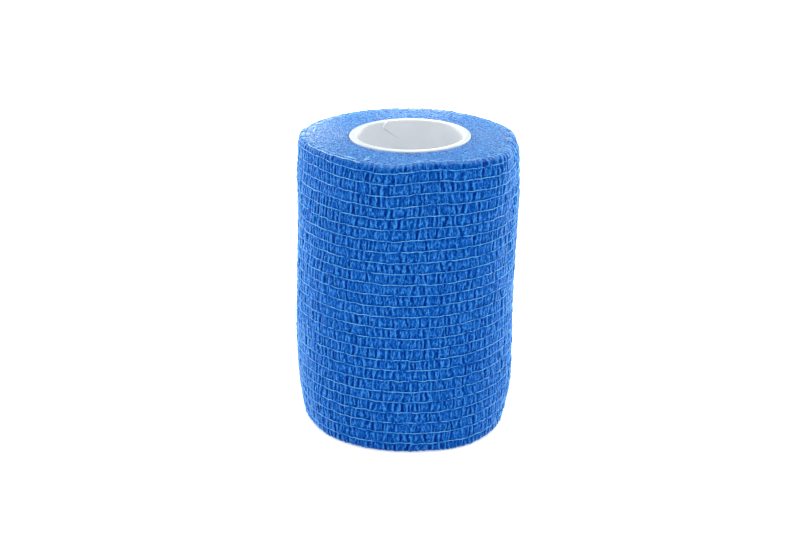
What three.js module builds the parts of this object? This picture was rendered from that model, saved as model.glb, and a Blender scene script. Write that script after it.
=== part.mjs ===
// A cohesive bandage roll: one long strip of crinkled elastic cloth, wound on a plastic core.
// It stands on its end. Millimetres, +Z up, with the origin on the roll's axis at the surface
// that it stands on. -Y is its front.
import * as THREE from "three";

// Driving dimensions
const STRIP_WIDTH = 75; // the strip's width, which is the wound roll's height
const ROLL_RADIUS = 27.7; // mean outside radius of the wound cloth
const TURN_THICKNESS = 0.4; // one turn of cloth, as wound
const CORE_OUTER_RADIUS = 15.3;
const CORE_WALL = 1.65;
const CORE_OFFSET = 0.9; // the core lies this far to the right of the winding's middle
const CORE_EDGE_BEVEL = 0.35;
const SEAT_GAP = 0.3; // between the core and the first turn

// Elastic threads run round the roll and draw the cloth in, and it puffs out between them.
const THREAD_COUNT = 26;
const THREAD_PITCH = 2.83;
const FIRST_THREAD_DROP = 1.7; // from the upper edge down to the first thread
const PUFF_HEIGHT = 0.42; // from a thread out to the crest of the puff beside it

// The upper edge of the winding is rounded over, and the lower one less, as the roll stands on it.
const UPPER_EDGE_INSET = 1.4;
const UPPER_EDGE_DROP = 1.2;
const LOWER_EDGE_INSET = 0.6;
const LOWER_EDGE_RISE = 0.75;
const EDGE_SHOULDER_SHARE = 0.3; // of the inset that is left at the middle of the rounding

// The cut end of the strip lies pressed on at the back, one turn thick.
const STRIP_END_DEGREES = 152;

const SEGMENTS = 60; // round the roll

// Where the winding swells or is pressed in. Degrees run from the front to the right, seen from the front.
const UNEVEN_SPOTS = [
  { spot: "soft corner at the front", degrees: -11, height: 75, out: 0.8, across: 9, reach: 24 },
  { spot: "flat to the right of the corner", degrees: 13, height: 75, out: -2.8, across: 15, reach: 18 },
  { spot: "flat to the left of the corner", degrees: -56, height: 75, out: -2.5, across: 28, reach: 15 },
  { spot: "swell at the front right", degrees: 49, height: 72, out: 1.3, across: 17, reach: 24 },
  { spot: "upper edge in at the front left", degrees: -28, height: 75, out: -1.1, across: 18, reach: 1.7 },
  { spot: "shoulder at the front right", degrees: 55, height: 73, out: 0.8, across: 15, reach: 8 },
  { spot: "upper edge in at the right", degrees: 81, height: 75, out: -1.0, across: 15, reach: 2.2 },
  { spot: "swell on the right side", degrees: 88, height: 62, out: 1.05, across: 24, reach: 19 },
  { spot: "shoulder on the left side", degrees: -92, height: 66, out: 0.35, across: 20, reach: 5 },
  { spot: "flat at the back", degrees: 132, height: 66, out: -0.6, across: 22, reach: 24 },
  { spot: "flat at the back left", degrees: -142, height: 40, out: -0.6, across: 24, reach: 30 },
  { spot: "lower swell on the left side", degrees: -92, height: 22, out: 0.85, across: 26, reach: 20 },
  { spot: "lower swell at the front right", degrees: 31, height: 0, out: 1.0, across: 18, reach: 12 },
  { spot: "lower edge in at the right", degrees: 79, height: 0, out: -1.7, across: 20, reach: 6 },
  { spot: "lower edge in at the left", degrees: -76, height: 0, out: -1.2, across: 26, reach: 7 },
];

const cloth = new THREE.MeshStandardMaterial({ color: 0x2b6fd6, roughness: 0.92, metalness: 0 });
const plastic = new THREE.MeshStandardMaterial({ color: 0xf2f4f3, roughness: 0.45, metalness: 0 });

// A bell that is 1 at zero, and falls away over about its own width.
function bell(distance, width) {
  return Math.exp(-((distance / width) ** 2));
}

// The shorter way round from one direction to another, in degrees.
function turnBetween(a, b) {
  return ((((a - b + 180) % 360) + 360) % 360) - 180;
}

// How far the winding stands out from a true cylinder at a direction and height.
function unevenness(degrees, height) {
  const degreesPastEnd = (turnBetween(degrees, STRIP_END_DEGREES) + 360) % 360;
  const spiral = TURN_THICKNESS * (0.5 - degreesPastEnd / 360);
  return UNEVEN_SPOTS.reduce(
    (sum, s) =>
      sum + s.out * bell(turnBetween(degrees, s.degrees), s.across) * bell(height - s.height, s.reach),
    spiral,
  );
}

// The outer side in profile, from the lower edge up: drawn in at each thread, and puffed out between threads.
function sideProfile() {
  const crest = ROLL_RADIUS + PUFF_HEIGHT / 2;
  const valley = ROLL_RADIUS - PUFF_HEIGHT / 2;
  const profile = [
    new THREE.Vector2(ROLL_RADIUS - LOWER_EDGE_INSET, 0),
    new THREE.Vector2(ROLL_RADIUS - LOWER_EDGE_INSET * EDGE_SHOULDER_SHARE, LOWER_EDGE_RISE / 2),
  ];
  for (let i = THREAD_COUNT - 1; i >= 0; i--) {
    const thread = STRIP_WIDTH - FIRST_THREAD_DROP - i * THREAD_PITCH;
    const lowest = i === THREAD_COUNT - 1;
    const below = lowest ? (thread + LOWER_EDGE_RISE) / 2 : thread - THREAD_PITCH / 2;
    profile.push(new THREE.Vector2(crest, below), new THREE.Vector2(valley, thread));
  }
  const shoulder = ROLL_RADIUS - UPPER_EDGE_INSET * EDGE_SHOULDER_SHARE;
  profile.push(
    new THREE.Vector2(ROLL_RADIUS, STRIP_WIDTH - UPPER_EDGE_DROP),
    new THREE.Vector2(shoulder, STRIP_WIDTH - UPPER_EDGE_DROP / 2),
    new THREE.Vector2(ROLL_RADIUS - UPPER_EDGE_INSET, STRIP_WIDTH),
  );
  return profile;
}

// A closed profile turned about the upright axis, with its first column at the front.
function turned(profile) {
  return new THREE.LatheGeometry([...profile, profile[0]], SEGMENTS).rotateX(Math.PI / 2);
}

// Moves the points of the winding out or in at the outside. The bore stays round, and goes with the core.
function pressIntoShape(geometry, boreRadius) {
  const points = geometry.getAttribute("position");
  const point = new THREE.Vector3();
  for (let i = 0; i < points.count; i++) {
    point.fromBufferAttribute(points, i);
    const radius = Math.hypot(point.x, point.y);
    const degrees = THREE.MathUtils.radToDeg(Math.atan2(point.x, -point.y));
    const share = Math.min(1, (radius - boreRadius) / (ROLL_RADIUS - UPPER_EDGE_INSET - boreRadius));
    const scale = (radius + share * unevenness(degrees, point.z)) / radius;
    points.setXYZ(i, point.x * scale + (1 - share) * CORE_OFFSET, point.y * scale, point.z);
  }
  return geometry;
}

function woundBandage() {
  const boreRadius = CORE_OUTER_RADIUS + SEAT_GAP;
  const profile = [
    new THREE.Vector2(boreRadius, 0),
    ...sideProfile(),
    new THREE.Vector2(boreRadius, STRIP_WIDTH),
  ];
  const mesh = new THREE.Mesh(pressIntoShape(turned(profile), boreRadius), cloth);
  mesh.name = "bandage";
  return mesh;
}

// The core is as long as the strip is wide, with its four rims bevelled.
function coreTube() {
  const inner = CORE_OUTER_RADIUS - CORE_WALL;
  const outer = CORE_OUTER_RADIUS;
  const bevel = CORE_EDGE_BEVEL;
  const profile = [
    new THREE.Vector2(inner + bevel, 0),
    new THREE.Vector2(outer - bevel, 0),
    new THREE.Vector2(outer, bevel),
    new THREE.Vector2(outer, STRIP_WIDTH - bevel),
    new THREE.Vector2(outer - bevel, STRIP_WIDTH),
    new THREE.Vector2(inner + bevel, STRIP_WIDTH),
    new THREE.Vector2(inner, STRIP_WIDTH - bevel),
    new THREE.Vector2(inner, bevel),
  ];
  const mesh = new THREE.Mesh(turned(profile), plastic);
  mesh.name = "core";
  mesh.position.x = CORE_OFFSET;
  return mesh;
}

const roll = new THREE.Group();
roll.name = "bandage_roll";
roll.add(woundBandage(), coreTube());

export default roll;
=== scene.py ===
"""Dresses a cohesive bandage roll that stands on its end.

The cloth is one long strip with elastic threads laid along it. The threads have drawn it up, so it is
puckered between them. The script makes the puckered last turn, the turns wound below it with their edges
showing at both ends, the threads, the plastic core and the few fibres that have come loose.

Angles run from the front, which faces -Y, to the right as seen from there. Sizes are in metres.
"""

import logging
import math
from dataclasses import dataclass, field
from enum import Enum
from typing import Union

import bpy
import numpy as np
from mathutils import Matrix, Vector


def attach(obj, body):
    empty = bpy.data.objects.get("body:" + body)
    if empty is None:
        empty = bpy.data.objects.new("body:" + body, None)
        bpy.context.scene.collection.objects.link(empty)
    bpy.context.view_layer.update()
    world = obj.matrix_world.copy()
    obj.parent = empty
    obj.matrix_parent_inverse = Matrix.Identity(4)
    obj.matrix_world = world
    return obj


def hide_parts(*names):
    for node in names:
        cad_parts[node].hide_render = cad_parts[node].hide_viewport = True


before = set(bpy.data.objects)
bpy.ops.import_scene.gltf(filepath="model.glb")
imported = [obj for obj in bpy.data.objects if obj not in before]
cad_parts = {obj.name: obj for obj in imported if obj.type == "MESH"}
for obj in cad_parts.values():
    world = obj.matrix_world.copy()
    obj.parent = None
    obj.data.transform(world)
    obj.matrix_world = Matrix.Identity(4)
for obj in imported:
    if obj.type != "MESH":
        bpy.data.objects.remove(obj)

Array = np.ndarray
Faces = Union[np.ndarray, list[list[int]]]
Tube = tuple[np.ndarray, list[list[int]]]
Cells = tuple[int, int]
Place = tuple[float, float, float]
Colour = tuple[float, float, float]

MM = 0.001
FULL_TURN = 2.0 * math.pi
BODY = "root"
LOG = logging.getLogger("bandage_roll")

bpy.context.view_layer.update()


def smooth_step(share: Array) -> Array:
    """Eases a share from 0 to 1, level at both ends."""
    return share * share * (3.0 - 2.0 * share)


def ring_noise(rng: np.random.Generator, angle: Array, share: Array, cells: Cells) -> Array:
    """Draws smooth chance values that join up round the roll.

    Args:
        rng: The source of the values.
        angle: Directions, in radians.
        share: Places across the roll, from 0 to 1.
        cells: How many values there are in a full turn, and how many steps there are from 0 to 1.

    Returns:
        Values from -1 to 1, one for each place.
    """
    around, along = cells
    lattice = rng.uniform(-1.0, 1.0, (along + 2, around))
    turn = (angle / FULL_TURN) % 1.0 * around
    row = np.clip(share, 0.0, 1.0) * along
    left, low = np.floor(turn).astype(int), np.floor(row).astype(int)
    across, up = smooth_step(turn - left), smooth_step(row - low)
    left, right = left % around, (left + 1) % around
    lower = lattice[low, left] * (1.0 - across) + lattice[low, right] * across
    upper = lattice[low + 1, left] * (1.0 - across) + lattice[low + 1, right] * across
    return lower * (1.0 - up) + upper * up


def ring_points(angle: Array, radius: Array, height: Array) -> Array:
    """Gives the points at directions, distances from the axis and heights.

    Args:
        angle: Directions from the front, in radians.
        radius: Distances from the axis.
        height: Heights above the surface that the roll stands on.

    Returns:
        Points, with x, y and z along the last axis.
    """
    angle, radius, height = np.broadcast_arrays(angle, radius, height)
    return np.stack([radius * np.sin(angle), -radius * np.cos(angle), height], axis=-1)


def new_piece(
    name: str, points: Array, faces: Faces, marks: Union[dict[str, Array], None] = None
) -> bpy.types.Object:
    """Makes a smooth mesh object from arrays.

    Args:
        name: The piece's name.
        points: Its points, one in a row.
        faces: Its faces, as point numbers.
        marks: Numbers or vectors to keep on the points, by name, for its finish to read.

    Returns:
        The new object, at the origin.
    """
    mesh = bpy.data.meshes.new(name)
    mesh.from_pydata(points, [], faces)
    for label, values in (marks or {}).items():
        kind, key = ("FLOAT", "value") if values.size == len(points) else ("FLOAT_VECTOR", "vector")
        mark = mesh.attributes.new(label, kind, "POINT")
        mark.data.foreach_set(key, values.astype(np.float32).ravel())
    mesh.shade_smooth()
    mesh.validate()
    piece = bpy.data.objects.new(name, mesh)
    bpy.context.scene.collection.objects.link(piece)
    return piece


def loop_faces(rows: int, columns: int) -> Array:
    """Gives the faces of a grid whose rows and columns both join up, as on a ring.

    Args:
        rows: How many rows of points there are.
        columns: How many points there are in a row.

    Returns:
        Four point numbers for each face.
    """
    row, column = np.meshgrid(np.arange(rows), np.arange(columns), indexing="ij")
    next_row, next_column = (row + 1) % rows, (column + 1) % columns
    corners = [(row, column), (row, next_column), (next_row, next_column), (next_row, column)]
    return np.stack([r * columns + c for r, c in corners], axis=-1).reshape(-1, 4)


def tube(path: Array, outward: Array, upward: Array, sides: int) -> Tube:
    """Sweeps an oval along a path and closes its ends.

    Args:
        path: Points along the middle.
        outward: The oval's first half axis at each point.
        upward: Its second half axis at each point.
        sides: How many sides the oval has.

    Returns:
        The tube's points and faces.
    """
    turn = np.arange(sides) * FULL_TURN / sides
    cosine, sine = np.cos(turn)[None, :, None], np.sin(turn)[None, :, None]
    points = (path[:, None, :] + cosine * outward[:, None, :] + sine * upward[:, None, :]).reshape(-1, 3)
    steps = len(path)
    faces = loop_faces(steps, sides)[: (steps - 1) * sides].tolist()
    faces.append(list(range(sides)))
    faces.append(list(range(steps * sides - 1, (steps - 1) * sides - 1, -1)))
    return points, faces


def join_tubes(tubes: list[Tube]) -> Tube:
    """Puts tubes together in one list of points and one of faces.

    Args:
        tubes: The points and faces of each tube.

    Returns:
        All the points and all the faces.
    """
    faces: list[list[int]] = []
    count = 0
    for points, sides in tubes:
        faces.extend([count + corner for corner in side] for side in sides)
        count += len(points)
    return np.concatenate([points for points, _ in tubes]), faces


@dataclass(frozen=True)
class Strand:
    """A short loose strand, by the places that it passes through, in millimetres."""

    places: tuple[Place, ...]
    half_width: float = 0.1
    steps: int = 14
    sides: int = 5

    def tube(self) -> Tube:
        """Draws the strand as a smooth tube that narrows a little towards its far end.

        Returns:
            The tube's points and faces.
        """
        places = np.array(self.places) * MM
        along = np.linspace(0.0, 1.0, self.steps)
        shares = np.linspace(0.0, 1.0, len(places))
        fit = np.polynomial.polynomial.polyfit(shares, places, len(places) - 1)
        path = np.polynomial.polynomial.polyval(along, fit).T
        ahead = np.gradient(path, axis=0)
        ahead = ahead / np.linalg.norm(ahead, axis=1, keepdims=True)
        aside = np.cross(ahead, [0.31, 0.52, 0.79])
        aside = aside / np.linalg.norm(aside, axis=1, keepdims=True)
        half = self.half_width * MM * (1.0 - 0.4 * along)[:, None]
        return tube(path, aside * half, np.cross(ahead, aside) * half, self.sides)


@dataclass(frozen=True)
class UnevenSpot:
    """A place where the winding swells, or is pressed in where out is below zero."""

    degrees: float
    height: float
    out: float
    across: float
    reach: float

    def depth(self, angle: Array, height: Array) -> Array:
        """How far the winding stands out here, at each direction and height."""
        turn = (np.degrees(angle) - self.degrees + 180.0) % 360.0 - 180.0
        rise = height / MM - self.height
        return self.out * MM * np.exp(-((turn / self.across) ** 2) - (rise / self.reach) ** 2)


@dataclass(frozen=True)
class RollShape:
    """The smooth form of the wound roll, and where its elastic threads run."""

    height: float = 75.0 * MM
    radius: float = 27.7 * MM
    turn: float = 0.4 * MM
    core_radius: float = 15.3 * MM
    core_wall: float = 1.65 * MM
    core_offset: float = 0.9 * MM
    seat_gap: float = 0.3 * MM
    strip_end: float = math.radians(152.0)
    thread_count: int = 26
    thread_pitch: float = 2.83 * MM
    first_thread_drop: float = 1.7 * MM
    upper_inset: float = 1.4 * MM
    upper_drop: float = 1.2 * MM
    lower_inset: float = 0.6 * MM
    lower_rise: float = 0.75 * MM
    spots: tuple[UnevenSpot, ...] = (
        UnevenSpot(degrees=-11, height=75, out=0.8, across=9, reach=24),
        UnevenSpot(degrees=13, height=75, out=-2.8, across=15, reach=18),
        UnevenSpot(degrees=-56, height=75, out=-2.5, across=28, reach=15),
        UnevenSpot(degrees=49, height=72, out=1.3, across=17, reach=24),
        UnevenSpot(degrees=-28, height=75, out=-1.1, across=18, reach=1.7),
        UnevenSpot(degrees=55, height=73, out=0.8, across=15, reach=8),
        UnevenSpot(degrees=81, height=75, out=-1.0, across=15, reach=2.2),
        UnevenSpot(degrees=88, height=62, out=1.05, across=24, reach=19),
        UnevenSpot(degrees=-92, height=66, out=0.35, across=20, reach=5),
        UnevenSpot(degrees=132, height=66, out=-0.6, across=22, reach=24),
        UnevenSpot(degrees=-142, height=40, out=-0.6, across=24, reach=30),
        UnevenSpot(degrees=-92, height=22, out=0.85, across=26, reach=20),
        UnevenSpot(degrees=31, height=0, out=1.0, across=18, reach=12),
        UnevenSpot(degrees=79, height=0, out=-1.7, across=20, reach=6),
        UnevenSpot(degrees=-76, height=0, out=-1.2, across=26, reach=7),
    )

    @property
    def bore(self) -> float:
        """The radius of the hole through the cloth."""
        return self.core_radius + self.seat_gap

    def thread_heights(self) -> Array:
        """The height of each thread, from the lowest to the highest."""
        number = np.arange(self.thread_count - 1, -1, -1)
        return self.height - self.first_thread_drop - number * self.thread_pitch

    def outline(self, past_end: Array, height: Array) -> Array:
        """Gives the outside radius of the winding, without its puckers.

        Args:
            past_end: Directions past the strip's cut end, from 0 to a full turn.
            height: Heights.

        Returns:
            The radius at each place.
        """
        angle = past_end + self.strip_end
        out = self.turn * (0.5 - past_end / FULL_TURN)
        for spot in self.spots:
            out = out + spot.depth(angle, height)
        below_top = np.clip(1.0 - (self.height - height) / self.upper_drop, 0.0, 1.0)
        above_base = np.clip(1.0 - height / self.lower_rise, 0.0, 1.0)
        inset = self.upper_inset * (1.0 - np.sqrt(1.0 - below_top**2))
        inset = inset + self.lower_inset * (1.0 - np.sqrt(1.0 - above_base**2))
        return self.radius + out - inset


@dataclass(frozen=True)
class RidgeBand:
    """The ridges of one band between two threads, in order round the roll, with the cells between them.

    A ridge is thin, and runs from its place on the lower thread to its place on the upper. Beside it,
    on one side, the cloth is creased inwards, and most of all halfway between the threads.
    """

    low: Array
    high: Array
    bow: Array
    height: Array
    half_width: Array
    crease: Array
    crease_place: Array
    crease_width: float
    cell_level: Array
    sharpness: float = 1.4
    crease_at_thread: float = 0.3

    def section(self, angle: Array, rise: float) -> Array:
        """Gives how far the cloth stands out along one level of the band.

        Args:
            angle: Directions.
            rise: The level, from 0 at the lower thread to 1 at the upper.

        Returns:
            A distance for each direction.
        """
        lean = (self.high - self.low) * rise + self.bow * math.sin(math.pi * rise)
        place = np.maximum.accumulate(self.low + lean)
        turned = (angle - place[0]) % FULL_TURN + place[0]
        left = np.searchsorted(place, turned, side="right") - 1
        right = (left + 1) % len(place)
        past_right = turned - place[right] - np.where(right == 0, FULL_TURN, 0.0)
        pocket = self.crease_at_thread + (1.0 - self.crease_at_thread) * math.sin(math.pi * rise)
        out = self.cell_level[left]
        for ridge, past in ((left, turned - place[left]), (right, past_right)):
            fall = np.abs(past / self.half_width[ridge]) ** self.sharpness
            out = out + self.height[ridge] * np.exp(-fall)
            beside = (past - self.crease_place[ridge]) / self.crease_width
            out = out - pocket * self.crease[ridge] * np.exp(-(beside**2))
        return out


@dataclass
class Puckers:
    """The crinkles that the elastic threads draw up in the cloth."""

    shape: RollShape
    pitch: float = 1.3 * MM
    pitch_spread: float = 0.34
    lowest: float = 0.1 * MM
    highest: float = 0.5 * MM
    thinnest: float = 0.12 * MM
    thickest: float = 0.2 * MM
    usual_strength: float = 0.62
    strength_spread: float = 0.32
    deepest_crease: float = 0.56 * MM
    shallowest_share: float = 0.4
    crease_offset: float = 0.48 * MM
    crease_width: float = 0.3 * MM
    cell_spread: float = 0.04 * MM
    bow: float = 0.3
    drift: float = 0.3
    wander: float = 1.2 * MM
    wander_cells: Cells = (20, 7)
    sway: float = 0.25 * MM
    sway_cells: Cells = (60, 34)
    patch_level: float = 0.8
    patch_spread: float = 0.3
    patch_cells: Cells = (16, 10)
    crinkle: float = 0.1 * MM
    crinkle_cells: Cells = (200, 62)
    fine_crinkle: float = 0.06 * MM
    fine_crinkle_cells: Cells = (420, 81)
    puff: float = 0.06 * MM
    puff_spread: float = 0.4
    puff_cells: Cells = (60, 27)
    groove: float = 0.04 * MM
    held_share: float = 0.75
    band_fullness: float = 0.7
    rim_calm: float = 0.25
    seed: int = 41

    def bands(self, rng: np.random.Generator) -> list[RidgeBand]:
        """Draws the ridges of every band.

        Each ridge runs on from band to band, a little aside, and higher in some than in others.

        Args:
            rng: The source of chance.

        Returns:
            The bands, from the lowest up.
        """
        radius = self.shape.radius
        pitch = self.pitch / radius
        count = round(FULL_TURN / pitch)
        steps = rng.lognormal(0.0, self.pitch_spread, count)
        usual = np.cumsum(steps) / steps.sum() * FULL_TURN
        lines = self.shape.thread_count + 2
        place = usual + rng.normal(0.0, self.drift * pitch, (lines, count))
        strength = rng.normal(self.usual_strength, self.strength_spread, (lines, count))
        strength = np.clip(strength, 0.0, 1.0)
        return [
            RidgeBand(
                low=place[number],
                high=place[number + 1],
                bow=rng.normal(0.0, self.bow * pitch, count),
                height=self.lowest + (self.highest - self.lowest) * strength[number],
                half_width=rng.uniform(self.thinnest, self.thickest, count) / radius,
                crease=self.deepest_crease
                * strength[number]
                * rng.uniform(self.shallowest_share, 1.0, count),
                crease_place=rng.choice([-1.0, 1.0], count) * self.crease_offset / radius,
                crease_width=self.crease_width / radius,
                cell_level=rng.uniform(-self.cell_spread, self.cell_spread, count),
            )
            for number in range(lines - 1)
        ]

    def relief(self, angle: Array, share: Array, band: Array, rise: Array) -> Array:
        """Gives how far the puckered cloth stands out from the smooth winding.

        Args:
            angle: Directions, one in each column of a row.
            share: Heights as a share of the roll's, by row and column.
            band: Each row's band.
            rise: Each row's place in its band, from 0 to 1.

        Returns:
            A distance for each row and column.
        """
        rng = np.random.default_rng(self.seed)
        bands = self.bands(rng)
        angle = np.broadcast_to(angle, share.shape)
        sway = self.sway * ring_noise(rng, angle, share, self.sway_cells)
        sway = sway + self.wander * ring_noise(rng, angle, share, self.wander_cells)
        rows = zip(band, angle + sway / self.shape.radius, rise, strict=True)
        ridges = np.stack([bands[number].section(swayed, level) for number, swayed, level in rows])
        last = self.shape.thread_count
        between = np.sin(np.pi * rise) ** self.band_fullness
        between = np.where(band == last, np.sin(0.5 * np.pi * rise), between)
        between = np.where(band == 0, np.cos(0.5 * np.pi * rise), between)[:, None]
        patch = self.patch_level + self.patch_spread * ring_noise(rng, angle, share, self.patch_cells)
        crinkle = self.crinkle * (1.0 - np.abs(ring_noise(rng, angle, share, self.crinkle_cells)))
        fine = 1.0 - np.abs(ring_noise(rng, angle, share, self.fine_crinkle_cells))
        crinkle = crinkle + self.fine_crinkle * fine
        fullness = 1.0 + self.puff_spread * ring_noise(rng, angle, share, self.puff_cells)
        inner = (band > 0) & (band < last)
        puffed = np.where(inner, np.sin(np.pi * rise), 0.0)[:, None]
        pinched = np.where(np.minimum(rise, 1.0 - rise) < 1e-6, 1.0, 0.0)
        at_edge = (band == 0) & (rise < 0.5) | (band == last) & (rise > 0.5)
        pinched = np.where(at_edge, 0.0, pinched)[:, None]
        held = self.held_share + (1.0 - self.held_share) * between
        relief = (ridges * patch + crinkle) * held + self.puff * fullness * puffed - self.groove * pinched
        calm = np.where(band == last, 1.0 - self.rim_calm * rise**2, 1.0)[:, None]
        return (relief - relief.mean()) * calm


def hollowness(relief: Array, columns: int, rows: int, depth: float) -> Array:
    """Marks where a surface lies above or below the surface round about, for painted shade and highlight.

    Args:
        relief: How far each place stands out, with columns that join up.
        columns: How many columns to each side are round about.
        rows: How many rows to each side are round about.
        depth: The difference that counts as fully above or below.

    Returns:
        Values from 0 in a hollow to 1 on a crest, with 0.5 level.
    """
    mean = np.mean([np.roll(relief, step, axis=1) for step in range(-columns, columns + 1)], axis=0)
    padded = np.pad(mean, ((rows, rows), (0, 0)), mode="edge")
    mean = np.mean([padded[step : step + len(relief)] for step in range(2 * rows + 1)], axis=0)
    return np.clip(0.5 + 0.5 * (relief - mean) / depth, 0.0, 1.0)


class End(Enum):
    """The two ends of the roll."""

    LOWER = -1
    UPPER = 1


@dataclass
class OuterTurn:
    """The last turn of the strip: a puckered sheet whose cut end lies pressed on at the back."""

    shape: RollShape
    puckers: Puckers
    columns: int = 1080
    band_rows: int = 3
    thickness: float = 0.75 * MM
    rim_thickness: float = 0.4 * MM
    edge_fold: float = 0.02 * MM
    fold_shade_depth: float = 0.26 * MM
    rim_depth: float = 0.75 * MM
    side_rim_depth: float = 1.0 * MM
    rim_reach: float = 1.15
    rim_crowding: float = 1.7
    inner_rows: int = 3
    end_gap: float = 0.06 * MM
    end_lift: float = 0.15 * MM
    end_reach: float = 2.0 * MM
    long_wave: float = 0.16 * MM
    long_cells: Cells = (13, 26)
    short_wave: float = 0.13 * MM
    short_cells: Cells = (84, 200)
    edge_wave: float = 0.22 * MM
    edge_cells: Cells = (140, 1)
    upper_edge_level: float = 0.3
    seed: int = 7
    past_end: Array = field(init=False)
    band: Array = field(init=False)
    rise: Array = field(init=False)
    heights: Array = field(init=False)
    radii: Array = field(init=False)
    fold_shades: Array = field(init=False)
    rims: Array = field(init=False)

    def __post_init__(self) -> None:
        """Works out the outer face's grid, which the threads follow too."""
        shape = self.shape
        last = FULL_TURN - self.end_gap / shape.radius
        self.past_end = np.linspace(0.0, last, self.columns)
        bands = shape.thread_count + 1
        steps = np.arange(bands * self.band_rows + 1)
        self.band = np.minimum(steps // self.band_rows, bands - 1)
        even = (steps - self.band * self.band_rows) / self.band_rows
        self.rise = np.where(self.band == bands - 1, 1.0 - (1.0 - even) ** self.rim_crowding, even)
        lines, rise = self.thread_lines(), self.rise[:, None]
        self.heights = lines[self.band] * (1.0 - rise) + lines[self.band + 1] * rise
        levels = self.line_levels()[:, None]
        level = levels[self.band] * (1.0 - rise) + levels[self.band + 1] * rise
        angle = self.past_end + shape.strip_end
        relief = self.puckers.relief(angle, self.heights / shape.height, self.band, self.rise)
        # The fold shade mark records hollows and crests, for painted shade and highlight on the cloth.
        self.fold_shades = hollowness(relief, columns=6, rows=1, depth=self.fold_shade_depth)
        relief = 0.5 * relief + 0.25 * (np.roll(relief, 1, axis=1) + np.roll(relief, -1, axis=1))
        rim_depth = self.rim_depth + (self.side_rim_depth - self.rim_depth) * np.sin(angle) ** 2
        below_rim = (shape.height - self.heights) / rim_depth
        self.rims = smooth_step(np.clip(self.rim_reach - below_rim, 0.0, 1.0))
        lift = self.end_lift * np.exp(-self.past_end * shape.radius / self.end_reach)
        self.radii = shape.outline(self.past_end[None, :], level) + relief + lift

    def line_levels(self) -> Array:
        """The mean height of the lower edge, of each thread and of the upper edge, from the lowest up."""
        return np.concatenate([[0.0], self.shape.thread_heights(), [self.shape.height]])

    def thread_lines(self) -> Array:
        """Gives the height of the lower edge, of each thread and of the upper edge, all the way round.

        Returns:
            Heights, with a row for each line from the lowest up.
        """
        rng = np.random.default_rng(self.seed)
        shape = self.shape
        level = self.line_levels()
        angle = np.broadcast_to(self.past_end + shape.strip_end, (len(level), self.columns))
        share = np.broadcast_to((level / shape.height)[:, None], angle.shape)
        wave = self.long_wave * ring_noise(rng, angle, share, self.long_cells)
        wave = wave + self.short_wave * ring_noise(rng, angle, share, self.short_cells)
        lower = np.abs(ring_noise(rng, angle[0], share[0], self.edge_cells))
        upper = np.abs(ring_noise(rng, angle[-1], share[-1], self.edge_cells))
        wave[0] = self.edge_wave * lower
        wave[-1] = self.edge_wave * (self.upper_edge_level - upper)
        return level[:, None] + wave

    def inner_radius(self, past_end: Array, height: Array) -> Array:
        """The radius of the sheet's plain inner face, which nears the outer one at the upper rim."""
        near_rim = np.clip(1.0 - (self.shape.height - height) / self.shape.upper_drop, 0.0, 1.0)
        thickness = self.thickness + (self.rim_thickness - self.thickness) * near_rim
        return self.shape.outline(past_end, height) - thickness

    def edge_height(self, end: End, past_end: Array) -> Array:
        """The height of the sheet's edge at one end, at each direction past the cut end."""
        return self.along(-1 if end is End.UPPER else 0, past_end)[1]

    def along(self, row: int, past_end: Array) -> tuple[Array, Array]:
        """Gives the outer face's radius and height along one row of its grid.

        Args:
            row: The row, counted from the lowest, or from the highest below zero.
            past_end: Directions past the strip's cut end.

        Returns:
            The radius and the height at each direction.
        """
        radius = np.interp(past_end, self.past_end, self.radii[row])
        return radius, np.interp(past_end, self.past_end, self.heights[row])

    def build(self) -> bpy.types.Object:
        """Makes the sheet, closed by a plain inner face.

        Returns:
            The new piece.
        """
        shape = self.shape
        inner_share = np.linspace(1.0, 0.0, self.inner_rows)[:, None]
        low, high = self.heights[0], self.heights[-1]
        inner_heights = low + (high - low) * inner_share
        inner_heights = inner_heights + np.where(inner_share > 0.5, -self.edge_fold, self.edge_fold)
        inner_radii = self.inner_radius(self.past_end[None, :], shape.height * inner_share)
        heights = np.concatenate([self.heights, inner_heights])
        radii = np.concatenate([self.radii, inner_radii])
        fold_shades = np.concatenate([self.fold_shades, np.full(inner_radii.shape, 0.5)])
        rims = np.concatenate([self.rims, np.repeat(inner_share**8, self.columns, axis=1)])
        points = ring_points(self.past_end + shape.strip_end, radii, heights)
        lengths = np.broadcast_to(self.past_end * shape.radius, heights.shape)
        flat = np.stack([lengths, heights, np.zeros_like(heights)], axis=-1)
        marks = {"fold_shade": fold_shades, "rim": rims, "flat": flat}
        piece = new_piece("outer_turn", points.reshape(-1, 3), loop_faces(*heights.shape), marks)
        face_row = np.arange(heights.size) // self.columns - len(self.heights)
        outside = (face_row < 0) | (face_row == self.inner_rows - 1)
        piece.data.polygons.foreach_set("use_smooth", outside)
        return piece


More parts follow.
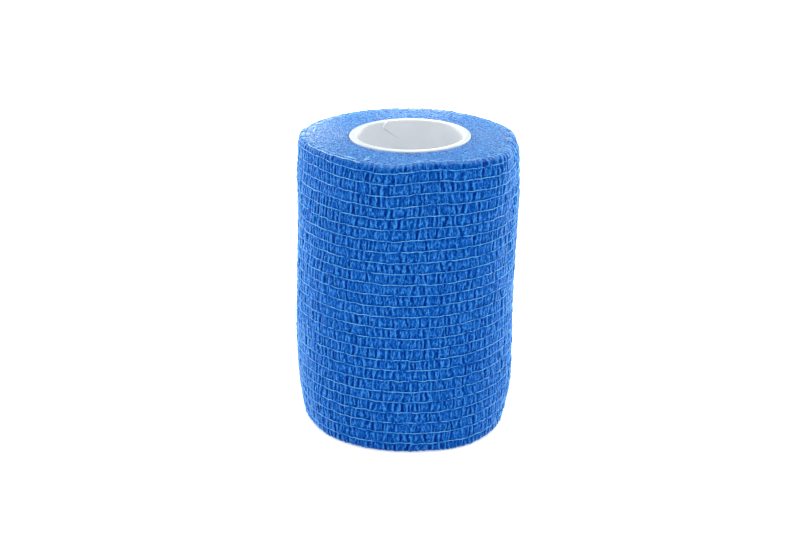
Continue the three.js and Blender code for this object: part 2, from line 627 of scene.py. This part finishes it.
@dataclass
class WoundTurns:
    """The turns below the last one, whose edges show side by side at both ends."""

    shape: RollShape
    outer: OuterTurn
    columns: int = 560
    upper_rows: int = 118
    lower_rows: int = 52
    clearance: float = 0.04 * MM
    broad_warp: float = 0.7
    broad_cells: Cells = (84, 12)
    fine_warp: float = 0.45
    fine_cells: Cells = (190, 32)
    edge_depth: float = 0.11 * MM
    edge_flatness: float = 2.2
    edge_spread: float = 0.04 * MM
    tufts_in_turn: int = 150
    grain: float = 0.07 * MM
    grain_cells: Cells = (280, 44)
    fold_shade_depth: float = 0.14 * MM
    foot_gap: float = 0.05 * MM
    join_start: float = 0.88
    seat_sink: float = 0.06 * MM
    seat_reach: float = 1.2 * MM
    seed: int = 19

    def end_face(self, end: End, rows: int) -> tuple[Array, Array, Array, Array]:
        """Shapes the edges of the turns at one end.

        Args:
            end: Which end it is.
            rows: How many rows of points there are from the bore out.

        Returns:
            The radius, height and fold shade mark of each point, and its share of the way out from the
            bore.
            The fold shade mark paints shade into hollows and highlight onto crests.
        """
        rng = np.random.default_rng(self.seed + end.value)
        shape = self.shape
        past_end = np.linspace(0.0, FULL_TURN, self.columns, endpoint=False)
        angle = past_end + shape.strip_end
        edge = self.outer.edge_height(end, past_end) - end.value * self.outer.edge_fold
        level = np.full(self.columns, shape.height if end is End.UPPER else 0.0)
        rim = self.outer.inner_radius(past_end, level) - self.clearance
        share = np.linspace(0.0, 1.0, rows)[:, None]
        radius = shape.bore + (rim[None, :] - shape.bore) * share
        angle, share = np.broadcast_arrays(angle[None, :], share)
        warp = self.broad_warp * ring_noise(rng, angle, share, self.broad_cells)
        warp = warp + self.fine_warp * ring_noise(rng, angle, share, self.fine_cells)
        turn = (radius - shape.bore) / shape.turn + past_end / FULL_TURN + warp
        number = np.floor(turn).astype(int)
        crown = 1.0 - np.abs(2.0 * (turn - number) - 1.0) ** self.edge_flatness
        tufts = self.tufts_in_turn
        jitter = rng.uniform(-1.0, 1.0, (number.max() - number.min() + 1, tufts))
        slot = angle / FULL_TURN % 1.0 * tufts
        left = np.floor(slot).astype(int) % tufts
        ease = smooth_step(slot - np.floor(slot))
        row = number - number.min()
        own = jitter[row, left] * (1.0 - ease) + jitter[row, (left + 1) % tufts] * ease
        grain = ring_noise(rng, angle, share, self.grain_cells)
        relief = self.edge_depth * (crown - 1.0) + self.edge_spread * own + self.grain * grain
        # The fold shade mark records hollows and crests, for painted shade and highlight on the cloth.
        fold_shade = hollowness(relief, columns=4, rows=6, depth=self.fold_shade_depth)
        if end is End.UPPER:
            sunk = self.seat_sink * np.exp(-(radius - shape.bore) / self.seat_reach)
            height = shape.height + relief - sunk
        else:
            height = np.maximum(0.0, self.foot_gap - relief)
        join = smooth_step(np.clip((share - self.join_start) / (1.0 - self.join_start), 0.0, 1.0))
        return radius, height * (1.0 - join) + edge * join, fold_shade, share

    def build(self) -> bpy.types.Object:
        """Makes the turns as one closed ring, with the bore and the outside left plain.

        Returns:
            The new piece.
        """
        upper = self.end_face(End.UPPER, self.upper_rows)
        lower = self.end_face(End.LOWER, self.lower_rows)
        past_end = np.linspace(0.0, FULL_TURN, self.columns, endpoint=False)
        middle_height = np.full((1, self.columns), 0.5 * self.shape.height)
        outside = self.outer.inner_radius(past_end[None, :], middle_height) - self.clearance
        level, bore = np.full_like(outside, 0.5), np.full_like(outside, self.shape.bore)
        rings = (
            lower,
            (outside, middle_height, level, np.ones_like(outside)),
            tuple(values[::-1] for values in upper),
            (bore, middle_height, level, np.zeros_like(outside)),
        )
        radii, heights, fold_shades, shares = (np.concatenate([ring[i] for ring in rings]) for i in range(4))
        points = ring_points(past_end + self.shape.strip_end, radii, heights)
        points[..., 0] += self.shape.core_offset * (1.0 - shares)
        marks = {"fold_shade": fold_shades, "rim": np.ones_like(fold_shades)}
        piece = new_piece("wound_turns", points.reshape(-1, 3), loop_faces(*radii.shape), marks)
        face_row = np.arange(radii.size) // self.columns
        walls = [self.lower_rows - 1, self.lower_rows, len(radii) - 2, len(radii) - 1]
        piece.data.polygons.foreach_set("use_smooth", ~np.isin(face_row, walls))
        return piece


@dataclass
class ElasticThreads:
    """The elastic threads laid along the strip, as they show round the last turn."""

    shape: RollShape
    outer: OuterTurn
    steps: int = 460
    sides: int = 5
    half_width: float = 0.105 * MM
    half_depth: float = 0.1 * MM
    stand_out: float = 0.05 * MM
    dip: float = 0.17 * MM
    dip_cells: Cells = (120, 1)
    kink: float = 0.09 * MM
    kink_cells: Cells = (190, 1)
    smoothing: int = 3
    longest_tail: float = 1.1 * MM
    shortest_share: float = 0.2
    rim_start: float = math.radians(-74.0)
    rim_stop: float = math.radians(-26.0)
    rim_steps: int = 130
    seed: int = 23

    def thread(self, row: int, tail: float, rng: np.random.Generator) -> Tube:
        """Lays one thread along its line in the cloth, with a short tail past the strip's cut end.

        Args:
            row: The row of the outer turn's grid that the thread follows.
            tail: How far it reaches past the cut end.
            rng: The source of its dips and kinks.

        Returns:
            The thread's points and faces.
        """
        outer, shape = self.outer, self.shape
        start, stop = -tail / shape.radius, FULL_TURN - outer.end_reach / shape.radius
        past_end = np.linspace(start, stop, self.steps)
        reach = range(-self.smoothing, self.smoothing + 1)
        middle = np.mean([np.roll(outer.radii[row], step) for step in reach], axis=0)
        level = np.zeros(self.steps)
        dips = ring_noise(rng, past_end, level, self.dip_cells)
        kinks = ring_noise(rng, past_end, level, self.kink_cells)
        radius = np.interp(past_end, outer.past_end, middle) + self.stand_out + self.dip * dips
        height = np.interp(past_end, outer.past_end, outer.heights[row]) + self.kink * kinks
        return self.sweep(past_end + shape.strip_end, radius, height)

    def rim_thread(self) -> Tube:
        """Lays the thread that has come out of the cloth along the front left of the upper rim.

        Returns:
            The thread's points and faces.
        """
        outer, shape = self.outer, self.shape
        angle = np.linspace(self.rim_start, self.rim_stop, self.rim_steps)
        radius, height = outer.along(-2, (angle - shape.strip_end) % FULL_TURN)
        return self.sweep(angle, radius + self.stand_out, height + self.half_width)

    def sweep(self, angle: Array, radius: Array, height: Array) -> Tube:
        """Sweeps the thread's flattened oval round the roll.

        Args:
            angle: The directions that it passes through.
            radius: Its distance from the axis at each.
            height: Its height at each.

        Returns:
            The thread's points and faces.
        """
        outward = ring_points(angle, np.full_like(angle, self.half_depth), np.zeros_like(angle))
        upward = np.tile([0.0, 0.0, self.half_width], (len(angle), 1))
        return tube(ring_points(angle, radius, height), outward, upward, self.sides)

    def build(self) -> bpy.types.Object:
        """Makes all the threads as one mesh.

        Returns:
            The new piece.
        """
        rng = np.random.default_rng(self.seed)
        tubes = []
        for number in range(1, self.shape.thread_count + 1):
            tail = rng.uniform(self.shortest_share, 1.0) * self.longest_tail
            tubes.append(self.thread(number * self.outer.band_rows, tail, rng))
        return new_piece("elastic_threads", *join_tubes(tubes))


@dataclass
class Core:
    """The plastic tube that the strip is wound on."""

    shape: RollShape
    segments: int = 144
    proud: float = 0.22 * MM
    foot_gap: float = 0.05 * MM
    rim_round: float = 0.14 * MM
    rim_steps: int = 4
    rounded_over: float = math.radians(40.0)
    smooth_under: float = math.radians(50.0)

    def build(self) -> bpy.types.Object:
        """Models the tube from a cylinder.

        Its ends are inset and opened, the bore is bridged between them and the rims are rounded.

        Returns:
            The new piece.
        """
        shape = self.shape
        length = shape.height + self.proud - self.foot_gap
        bpy.ops.object.select_all(action="DESELECT")
        bpy.ops.mesh.primitive_cylinder_add(
            vertices=self.segments,
            radius=shape.core_radius,
            depth=length,
            location=(shape.core_offset, 0.0, self.foot_gap + 0.5 * length),
        )
        piece = bpy.context.object
        piece.name = piece.data.name = "core_tube"
        bpy.ops.object.transform_apply(location=True, rotation=True, scale=True)
        bpy.ops.object.mode_set(mode="EDIT")
        bpy.ops.mesh.select_mode(type="FACE")
        self.select_ends(piece)
        bpy.ops.mesh.inset(thickness=shape.core_wall, depth=0.0)
        bpy.ops.mesh.delete(type="ONLY_FACE")
        bpy.ops.mesh.select_mode(type="EDGE")
        bpy.ops.mesh.select_all(action="DESELECT")
        bpy.ops.mesh.select_non_manifold()
        bpy.ops.mesh.bridge_edge_loops()
        bpy.ops.mesh.select_all(action="SELECT")
        bpy.ops.mesh.normals_make_consistent(inside=False)
        bpy.ops.object.mode_set(mode="OBJECT")
        rims = piece.modifiers.new("rims", "BEVEL")
        rims.width = self.rim_round
        rims.segments = self.rim_steps
        rims.limit_method = "ANGLE"
        rims.angle_limit = self.rounded_over
        bpy.ops.object.modifier_apply(modifier=rims.name)
        bpy.ops.object.shade_smooth_by_angle(angle=self.smooth_under)
        return piece

    @staticmethod
    def shade_rims(piece: bpy.types.Object, material: bpy.types.Material) -> None:
        """Gives the tube's two flat rims a darker copy of its plastic, as painted shade."""
        piece.data.materials.append(material)
        for face in piece.data.polygons:
            face.material_index = int(abs(face.normal.z) > 0.7)

    @staticmethod
    def select_ends(piece: bpy.types.Object) -> None:
        """Selects the two flat ends of the cylinder that is being edited."""
        bpy.ops.mesh.select_all(action="DESELECT")
        bpy.ops.object.mode_set(mode="OBJECT")
        for face in piece.data.polygons:
            face.select = abs(face.normal.z) > 0.9
        bpy.ops.object.mode_set(mode="EDIT")


@dataclass
class LooseFibres:
    """What has come loose on the upper end: the rim thread with its tuft, and a few fibres more."""

    threads: ElasticThreads
    strands: tuple[Strand, ...] = (
        Strand(places=((-10.6, -21.3, 74.7), (-9.9, -21.5, 75.1), (-9.0, -21.3, 75.7)), half_width=0.2),
        Strand(places=((-10.5, -21.4, 74.7), (-9.8, -21.8, 75.0), (-8.8, -21.9, 75.3)), half_width=0.16),
        Strand(places=((-10.4, -21.2, 74.7), (-9.9, -21.2, 75.2), (-9.6, -21.0, 75.8)), half_width=0.14),
        Strand(places=((-23.2, 1.0, 75.1), (-23.4, 3.1, 75.6), (-22.9, 5.8, 75.3)), half_width=0.12),
        Strand(places=((-8.0, -20.0, 75.1), (-7.8, -19.2, 75.4), (-7.9, -18.4, 75.3)), half_width=0.09),
        Strand(places=((-16.7, -2.3, 75.1), (-15.9, -2.1, 75.3), (-15.1, -2.5, 75.1)), half_width=0.09),
        Strand(places=((-15.3, 2.7, 75.1), (-15.0, 1.8, 75.4), (-14.9, 0.8, 75.2)), half_width=0.09),
    )

    def build(self) -> bpy.types.Object:
        """Makes them as one mesh."""
        tubes = [self.threads.rim_thread(), *(strand.tube() for strand in self.strands)]
        return new_piece("loose_fibres", *join_tubes(tubes))


@dataclass
class BoreMarks:
    """Marks on the bore's far wall: a plastic curl at its rim, and a crease line of painted shade below
    it.
    """

    curl: Strand = Strand(
        places=((-5.0, 12.2, 75.4), (-5.35, 11.3, 75.1), (-5.9, 10.7, 74.2)), half_width=0.3
    )
    crease_shade: Strand = Strand(
        places=((-5.8, 11.9, 73.4), (-3.9, 12.79, 71.8), (-1.9, 13.37, 70.4)), half_width=0.085
    )

    def build_curl(self) -> bpy.types.Object:
        """Makes the curl."""
        return new_piece("core_curl", *self.curl.tube())

    def build_crease_shade(self) -> bpy.types.Object:
        """Makes the crease line, half sunk in the wall, in a dark grey that paints its shade."""
        return new_piece("core_crease_shade", *self.crease_shade.tube())


@dataclass
class Shade:
    """A shader value: its socket, and the desk that adds the nodes of sums made with it."""

    desk: "Desk"
    socket: bpy.types.NodeSocket

    def sum(self, operation: str, first: "Input", second: "Input") -> "Shade":
        """Adds one Math node."""
        return self.desk.node("ShaderNodeMath", {"operation": operation}, {0: first, 1: second})

    def __add__(self, other: "Input") -> "Shade":
        """This plus a value."""
        return self.sum("ADD", self, other)

    __radd__ = __add__

    def __sub__(self, other: "Input") -> "Shade":
        """This less a value."""
        return self.sum("SUBTRACT", self, other)

    def __rsub__(self, other: "Input") -> "Shade":
        """A value less this."""
        return self.sum("SUBTRACT", other, self)

    def __mul__(self, other: "Input") -> "Shade":
        """This times a value."""
        return self.sum("MULTIPLY", self, other)

    __rmul__ = __mul__

    def clamped(self) -> "Shade":
        """This kept above zero."""
        return self.sum("MAXIMUM", self, 0.0)


Input = Union[Shade, float, int, tuple]


@dataclass
class Desk:
    """Lays out the nodes of one material."""

    tree: bpy.types.NodeTree

    def node(self, kind: str, settings: dict, inputs: dict, output: Union[int, str] = 0) -> Shade:
        """Adds a node.

        Args:
            kind: The node's type.
            settings: Its own settings, which are set first. "stops" holds a ramp's places and colours.
            inputs: Values or links for its sockets, by name or number.
            output: Which of its outputs is wanted.

        Returns:
            That output.
        """
        made = self.tree.nodes.new(kind)
        for name, value in settings.items():
            if name == "stops":
                self.set_stops(made.color_ramp, value)
            else:
                setattr(made, name, value)
        self.fill(made, inputs)
        return Shade(self, made.outputs[output])

    def fill(self, node: bpy.types.Node, inputs: dict) -> None:
        """Gives a node's sockets their values or links, by name or number."""
        for name, value in inputs.items():
            if isinstance(value, Shade):
                self.tree.links.new(value.socket, node.inputs[name])
            else:
                node.inputs[name].default_value = value

    @staticmethod
    def set_stops(ramp: bpy.types.ColorRamp, stops: list[tuple[float, Colour]]) -> None:
        """Gives a ramp its places and colours."""
        while len(ramp.elements) < len(stops):
            ramp.elements.new(1.0)
        for element, (place, colour) in zip(ramp.elements, stops, strict=True):
            element.position = place
            element.color = (*colour, 1.0)

    def noise(
        self,
        scale: float,
        detail: float = 2.0,
        roughness: float = 0.5,
        stretch: Place = (1.0, 1.0, 1.0),
        distortion: float = 0.0,
    ) -> Shade:
        """A cloudy pattern in the piece's own space, from 0 to 1.

        Args:
            scale: Features in a metre.
            detail: How many finer patterns are added.
            roughness: How strong these are.
            stretch: How much closer the features are along x, y and z.
            distortion: How far the pattern is pulled about.

        Returns:
            The pattern's value.
        """
        place = self.node("ShaderNodeTexCoord", {}, {}, "Object")
        inputs = {"Vector": place, "Scale": stretch}
        place = self.node("ShaderNodeMapping", {"vector_type": "POINT"}, inputs)
        inputs = {"Vector": place, "Scale": scale, "Detail": detail, "Roughness": roughness}
        return self.node("ShaderNodeTexNoise", {}, inputs | {"Distortion": distortion}, "Fac")

    def cells(self, place: Shade, width: float, height: float, wobble: float) -> Shade:
        """How far a place is from the border of its cell, in a pattern of cells on the flat strip.

        Args:
            place: Where it is along and across the strip.
            width: How wide a cell is, along the strip.
            height: How tall it is, across the strip.
            wobble: How far the borders wander, as a share of a cell.

        Returns:
            The distance, 0 on a border and about 0.5 in the middle of a wide cell.
        """
        inputs = {"Vector": place, "Scale": (1.0 / width, 1.0 / height, 1.0)}
        share = self.node("ShaderNodeMapping", {}, inputs)
        inputs = {"Vector": share, "Scale": 1.6, "Detail": 2.0}
        wander = self.node("ShaderNodeTexNoise", {}, inputs, "Color")
        wander = self.node("ShaderNodeVectorMath", {"operation": "SCALE"}, {0: wander, "Scale": wobble})
        share = self.node("ShaderNodeVectorMath", {"operation": "ADD"}, {0: share, 1: wander})
        settings = {"voronoi_dimensions": "2D", "feature": "DISTANCE_TO_EDGE"}
        return self.node("ShaderNodeTexVoronoi", settings, {"Vector": share, "Scale": 1.0}, "Distance")

    def mark(self, name: str) -> Shade:
        """A number that is kept on the piece's points."""
        return self.node("ShaderNodeAttribute", {"attribute_name": name}, {}, "Fac")

    def flat_place(self) -> Shade:
        """Where a point is along and across the flat strip, as kept on the piece's points."""
        return self.node("ShaderNodeAttribute", {"attribute_name": "flat"}, {}, "Vector")

    def ramp(self, value: Shade, stops: list[tuple[float, Colour]]) -> Shade:
        """Colours a value."""
        return self.node("ShaderNodeValToRGB", {"stops": stops}, {"Fac": value}, "Color")

    def mix(self, share: Shade, first: Shade, second: Shade) -> Shade:
        """Blends two colours, by a share of the second."""
        return self.node("ShaderNodeMix", {"data_type": "RGBA"}, {0: share, 6: first, 7: second}, 2)

    def bump(self, height: Shade, distance: float, strength: float) -> Shade:
        """Turns a height pattern into a normal."""
        inputs = {"Height": height, "Distance": distance, "Strength": strength}
        return self.node("ShaderNodeBump", {}, inputs, "Normal")


def new_material(name: str) -> tuple[bpy.types.Material, Desk, bpy.types.Node]:
    """Starts a material.

    Args:
        name: The material's name.

    Returns:
        The material, the desk for its nodes and its shader.
    """
    material = bpy.data.materials.new(name)
    material.use_nodes = True
    return material, Desk(material.node_tree), material.node_tree.nodes["Principled BSDF"]


@dataclass(frozen=True)
class Palette:
    """Three tones of one cloth, from painted shade in its creases to painted highlight on its ridges."""

    deep: Colour
    body: Colour
    pale: Colour

    def stops(self) -> list[tuple[float, Colour]]:
        """The tones as a ramp's places and colours."""
        return [(0.1, self.deep), (0.5, self.body), (0.95, self.pale)]


@dataclass(frozen=True)
class ClothFinish:
    """Crinkled nonwoven cloth, grainy at the strip's edge.

    Its creases carry painted shade and its ridges painted highlight.
    """

    name: str = "bandage_cloth"
    face: Palette = Palette(
        deep=(0.0002, 0.021, 0.195), body=(0.0019, 0.081, 0.404), pale=(0.05, 0.275, 0.755)
    )
    edge: Palette = Palette(
        deep=(0.0008, 0.036, 0.31), body=(0.004, 0.145, 0.515), pale=(0.04, 0.285, 0.715)
    )
    fold_shade_share: float = 0.95
    rim_fold_shade_share: float = 0.1
    fibre_share: float = 1.3
    fibre_stretch: Place = (1.0, 1.0, 0.5)
    rim_grain_share: float = 3.6
    clump_share: float = 0.15
    rim_clump_share: float = 0.5
    cell_width: float = 0.9 * MM
    cell_height: float = 1.8 * MM
    cell_wobble: float = 0.9
    ridge_highlight_share: float = 0.32
    line_width: float = 0.15
    line_mean: float = 0.3
    bump_depth: float = 0.14 * MM
    bump_strength: float = 0.8
    specular: float = 0.015
    coat: float = 0.64
    coat_roughness: float = 0.46
    sheen: float = 1.0
    sheen_roughness: float = 0.26
    sheen_tint: Colour = (0.53, 0.88, 0.83)

    def material(self) -> bpy.types.Material:
        """Builds the material."""
        material, desk, shader = new_material(self.name)
        fold_shade, rim = desk.mark("fold_shade"), desk.mark("rim")
        stretch = self.fibre_stretch
        fibres = desk.noise(2000.0, detail=3.0, roughness=0.65, stretch=stretch, distortion=1.0)
        grain = desk.noise(2700.0, detail=2.0, roughness=0.6)
        clumps = desk.noise(900.0, detail=2.0, roughness=0.5)
        border = desk.cells(desk.flat_place(), self.cell_width, self.cell_height, self.cell_wobble)
        lines = (1.0 - border * (1.0 / self.line_width)).clamped()
        # Painted shade in the hollows and painted highlight on the crests, from the fold shade mark.
        fold_shades = (self.fold_shade_share + self.rim_fold_shade_share * rim) * (fold_shade - 0.5)
        speckle = self.fibre_share * (1.0 - rim) * (fibres - 0.5)
        speckle = speckle + self.rim_grain_share * rim * (grain - 0.5)
        patches = (self.clump_share + self.rim_clump_share * rim) * (clumps - 0.5)
        # Thin pale lines along the cell borders: painted highlight on ridges, which the bump raises too.
        ridge_highlight = self.ridge_highlight_share * (lines - self.line_mean)
        tone = 0.5 + fold_shades + speckle + patches + (1.0 - rim) * ridge_highlight
        face, edge = desk.ramp(tone, self.face.stops()), desk.ramp(tone, self.edge.stops())
        height = 0.5 * fibres + rim * grain + (1.0 - rim) * 0.4 * lines
        finish = {
            "Base Color": desk.mix(rim, face, edge),
            "Roughness": 0.7 + 0.2 * clumps,
            "Normal": desk.bump(height, self.bump_depth, self.bump_strength),
            "Specular IOR Level": self.specular,
            "Coat Weight": self.coat * rim,
            "Coat Roughness": self.coat_roughness,
            "Sheen Weight": self.sheen,
            "Sheen Roughness": self.sheen_roughness,
            "Sheen Tint": (*self.sheen_tint, 1.0),
        }
        desk.fill(shader, finish)
        return material


@dataclass(frozen=True)
class ThreadFinish:
    """Pale elastic thread, with the blue of the cloth showing through here and there."""

    name: str = "elastic_thread"
    blue: Colour = (0.045, 0.28, 0.72)
    pale: Colour = (0.15, 0.48, 0.86)

    def material(self) -> bpy.types.Material:
        """Builds the material."""
        material, desk, shader = new_material(self.name)
        tone = desk.noise(420.0, detail=2.0, roughness=0.6)
        colour = desk.ramp(tone, [(0.4, self.blue), (0.6, self.pale)])
        twist = desk.noise(3000.0, detail=1.0)
        finish = {
            "Base Color": colour,
            "Roughness": 0.5 + 0.25 * twist,
            "Normal": desk.bump(twist, distance=0.05 * MM, strength=0.5),
            "Specular IOR Level": 0.2,
        }
        desk.fill(shader, finish)
        return material


@dataclass(frozen=True)
class CoreFinish:
    """Smooth white moulded plastic with a faint haze."""

    name: str = "core_plastic"
    white: Colour = (0.87, 0.905, 0.935)
    shaded: Colour = (0.82, 0.86, 0.90)

    def material(self) -> bpy.types.Material:
        """Builds the material."""
        material, desk, shader = new_material(self.name)
        haze = desk.noise(160.0, detail=3.0, roughness=0.55)
        grain = desk.noise(1800.0, detail=1.0, stretch=(1.0, 1.0, 0.3))
        colour = desk.ramp(haze, [(0.3, self.shaded), (0.7, self.white)])
        finish = {
            "Base Color": colour,
            "Roughness": 0.32 + 0.2 * haze,
            "Normal": desk.bump(grain, distance=0.03 * MM, strength=0.25),
        }
        desk.fill(shader, finish)
        return material


@dataclass(frozen=True)
class FloorFinish:
    """Plain white acrylic, lit a little from below."""

    name: str = "studio_floor"
    white: Colour = (0.92, 0.92, 0.92)
    glow: float = 0.42

    def material(self) -> bpy.types.Material:
        """Builds the material."""
        material, desk, shader = new_material(self.name)
        tooth = desk.noise(60.0, detail=2.0)
        near_white = tuple(0.985 * channel for channel in self.white)
        colour = desk.ramp(tooth, [(0.3, near_white), (0.7, self.white)])
        finish = {
            "Base Color": colour,
            "Roughness": 0.9,
            "Emission Color": (1.0, 1.0, 1.0, 1.0),
            "Emission Strength": self.glow,
        }
        desk.fill(shader, finish)
        return material


@dataclass(frozen=True)
class Lamp:
    """A soft square light: where it stands, how big it is and how strong."""

    name: str
    place: Place
    size: float
    watts: float


@dataclass
class Studio:
    """The floor, the soft light and the camera."""

    shape: RollShape
    floor_size: float = 6.0
    sky: float = 0.65
    camera_place: Place = (-1.655 * MM, -413.8 * MM, 192.9 * MM)
    camera_pitch: float = math.radians(20.31)
    lens: float = 76.64
    sensor: float = 36.0
    lamps: tuple[Lamp, ...] = (
        Lamp("left_light", (-0.62, 0.48, 0.09), 0.14, 7.5),
        Lamp("right_light", (0.62, 0.48, 0.09), 0.14, 7.5),
        Lamp("back_light", (0.004, 0.05, 0.085), 0.02, 0.0085),
        Lamp("back_left_light", (-0.028, 0.04, 0.084), 0.02, 0.007),
        Lamp("back_right_light", (0.034, 0.036, 0.084), 0.02, 0.0022),
        Lamp("top_light", (0.0, 0.1, 1.0), 1.0, 8.5),
    )

    def build(self) -> None:
        """Sets the floor, the light and the camera, and keeps true colours in the picture."""
        self.lay_floor()
        self.light()
        self.set_camera()
        bpy.context.scene.view_settings.view_transform = "Standard"

    def lay_floor(self) -> None:
        """Lays the floor that the roll stands on."""
        bpy.ops.object.select_all(action="DESELECT")
        bpy.ops.mesh.primitive_plane_add(size=self.floor_size, location=(0.0, 0.0, 0.0))
        floor = bpy.context.object
        floor.name = "studio_floor"
        floor.data.materials.append(FloorFinish().material())

    def light(self) -> None:
        """Hangs the lamps round the roll, and lights the rest evenly."""
        world = bpy.data.worlds.new("studio_light")
        bpy.context.scene.world = world
        world.use_nodes = True
        background = world.node_tree.nodes["Background"]
        background.inputs["Color"].default_value = (1.0, 1.0, 1.0, 1.0)
        background.inputs["Strength"].default_value = self.sky
        for lamp in self.lamps:
            data = bpy.data.lights.new(lamp.name, "AREA")
            data.size = lamp.size
            data.energy = lamp.watts
            placed = bpy.data.objects.new(lamp.name, data)
            bpy.context.scene.collection.objects.link(placed)
            placed.visible_camera = False
            placed.location = lamp.place
            towards = np.array([0.0, 0.0, 0.5 * self.shape.height]) - np.array(lamp.place)
            placed.rotation_euler = Vector(towards).to_track_quat("-Z", "Y").to_euler()

    def set_camera(self) -> None:
        """Stands the camera in front of the roll and a little above it."""
        data = bpy.data.cameras.new("camera")
        data.lens = self.lens
        data.sensor_width = self.sensor
        camera = bpy.data.objects.new("camera", data)
        bpy.context.scene.collection.objects.link(camera)
        camera.location = self.camera_place
        camera.rotation_euler = (0.5 * math.pi - self.camera_pitch, 0.0, 0.0)
        bpy.context.scene.camera = camera


def dress(piece: bpy.types.Object, material: bpy.types.Material) -> bpy.types.Object:
    """Gives a piece its finish, and joins it to the roll's one body.

    Args:
        piece: The piece.
        material: Its material.

    Returns:
        The same piece.
    """
    piece.data.materials.clear()
    piece.data.materials.append(material)
    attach(piece, BODY)
    LOG.info("%s: %d faces", piece.name, len(piece.data.polygons))
    return piece


def main() -> None:
    """Builds the studio and the roll."""
    logging.basicConfig(level=logging.INFO, format="%(name)s %(message)s")
    shape = RollShape()
    Studio(shape).build()

    outer = OuterTurn(shape, Puckers(shape))
    cloth = ClothFinish().material()
    outer_turn = dress(outer.build(), cloth)
    wound_turns = dress(WoundTurns(shape, outer).build(), cloth)
    threads = ElasticThreads(shape, outer)
    dress(threads.build(), ThreadFinish().material())
    loose = ThreadFinish("loose_fibre", blue=(0.20, 0.50, 0.86), pale=(0.48, 0.76, 0.95))
    dress(LooseFibres(threads).build(), loose.material())
    core = dress(Core(shape).build(), CoreFinish().material())
    # The flat rims take a darker copy of the core plastic: painted shade for the strong light on them.
    rims = CoreFinish("core_rims_painted_shade", white=(0.54, 0.60, 0.605), shaded=(0.51, 0.57, 0.575))
    Core.shade_rims(core, rims.material())
    marks = BoreMarks()
    # The curl's lighter copy of the core plastic is a painted highlight.
    curl = CoreFinish("core_curl", white=(0.97, 0.98, 0.98), shaded=(0.95, 0.96, 0.96))
    dress(marks.build_curl(), curl.material())
    # The crease line's dark grey is painted shade on the white wall.
    crease_shade_finish = CoreFinish("crease_shade_plastic", white=(0.50, 0.53, 0.56), shaded=(0.42, 0.46, 0.50))
    dress(marks.build_crease_shade(), crease_shade_finish.material())

    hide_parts("bandage")
    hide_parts("bandage")
    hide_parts("core")


if __name__ == "__main__":
    main()
